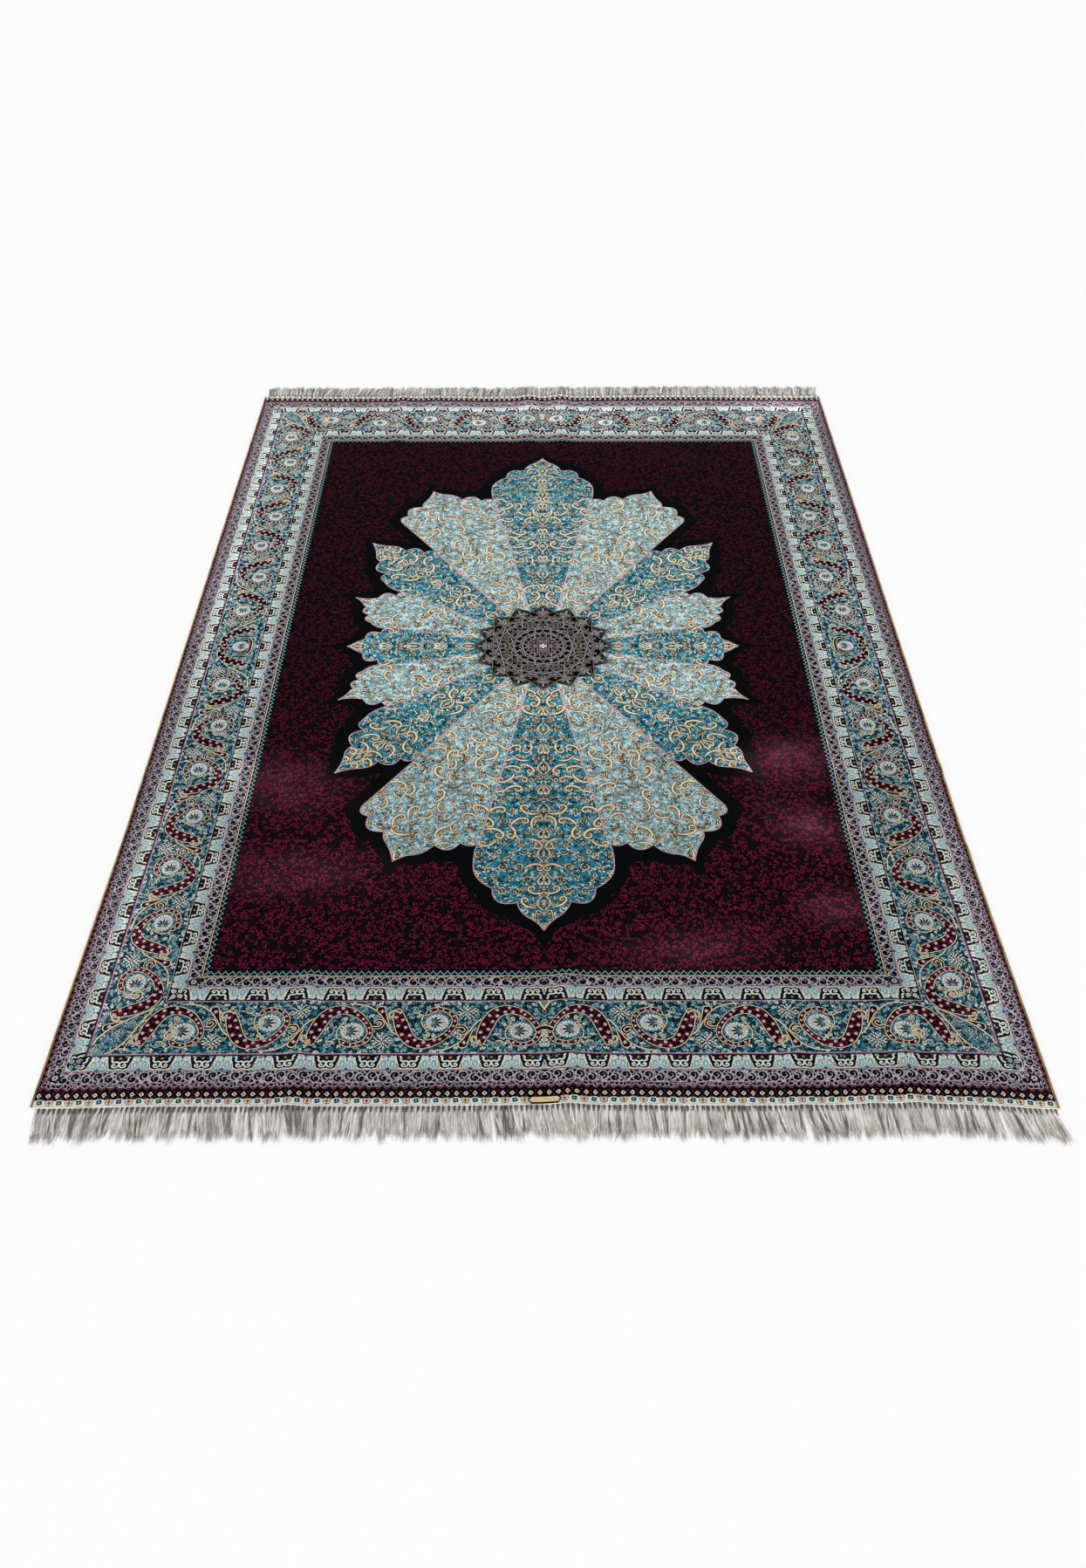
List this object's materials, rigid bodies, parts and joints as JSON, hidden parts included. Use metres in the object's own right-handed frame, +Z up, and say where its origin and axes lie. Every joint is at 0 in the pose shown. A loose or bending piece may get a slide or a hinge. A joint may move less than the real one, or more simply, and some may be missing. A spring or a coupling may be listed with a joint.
{
  "type": "chinese silk rug",
  "caption": "Flat oblong silk pile rug with overcast sides and a knotted warp fringe along both short ends, lying on a floor.",
  "frame": {"origin": "on the floor under the middle of the rug, fringes included", "axes": "+X across the rug, +Y along its length from the near end to the far end, +Z up from the floor to the pile"},
  "size_m": [1.8548, 2.91, 0.01],
  "materials": {
    "silk_pile": "short clipped silk pile with a soft directional sheen",
    "gold_binding": "matte overcast yarn",
    "cream_warp": "matte twisted warp yarn"
  },
  "bodies": {
    "root": {"rug_pile": "silk_pile", "selvedge_left": "gold_binding", "selvedge_right": "gold_binding", "fringe_near": "cream_warp", "fringe_far": "cream_warp"}
  },
  "joints": []
}
